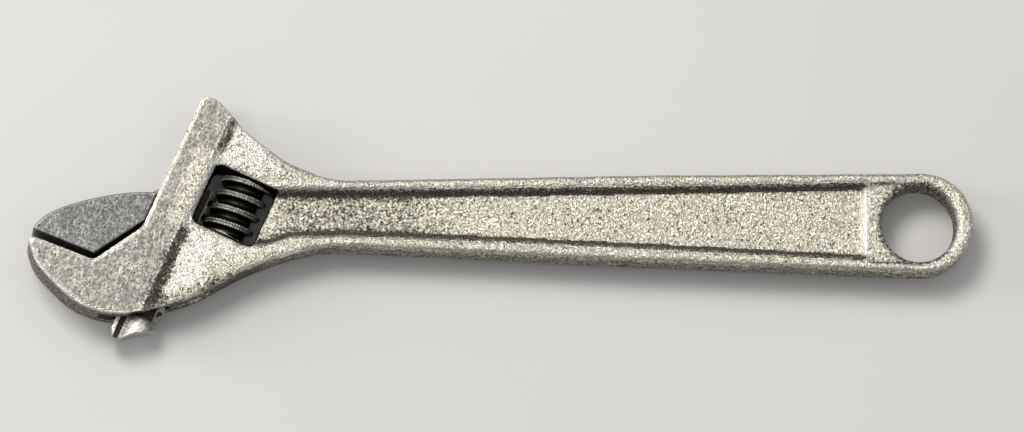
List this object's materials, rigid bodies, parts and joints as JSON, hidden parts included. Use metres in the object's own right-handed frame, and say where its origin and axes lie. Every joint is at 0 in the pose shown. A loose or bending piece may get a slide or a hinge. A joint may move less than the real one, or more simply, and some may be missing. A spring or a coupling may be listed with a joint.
{
  "type": "adjustable wrench",
  "caption": "Small adjustable wrench with a forged body, sliding jaw driven by a threaded worm, screw pin, spring and a hang hole in the handle.",
  "frame": {"origin": "centre of the hang hole, on the wrench's middle plane", "axes": "+X along the handle away from the jaws, +Y towards the movable jaw's back, +Z square to the wrench's flat face"},
  "size_m": [0.11, 0.0283, 0.0078],
  "materials": {
    "forged_steel": "worn nickel plate over a grainy forged surface",
    "jaw_steel": "ground and worn",
    "dark_steel": "oily dark steel with rubbed crests",
    "pin_steel": "dull turned steel",
    "spring_steel": "dull drawn wire"
  },
  "bodies": {
    "frame_body": {"wrench_body": "forged_steel", "worm_pin": "pin_steel", "worm_spring": "spring_steel"},
    "jaw_body": {"movable_jaw": "jaw_steel"},
    "worm_body": {"worm": "dark_steel"}
  },
  "joints": [
    {"name": "jaw_slide", "type": "slide", "parent": "frame_body", "child": "jaw_body", "axis": [0.4067, 0.9135, 0], "range_m": [-0.0005, 0.0122]},
    {"name": "worm_spin", "type": "hinge", "parent": "frame_body", "child": "worm_body", "pos_m": [-0.0796, 0.00071, 0], "axis": [0.4067, 0.9135, 0], "range_deg": [-2450, 110]}
  ],
  "couplings": [
    {"joint": "worm_spin", "follows": "jaw_slide", "rad_per_m": -3490.7}
  ]
}
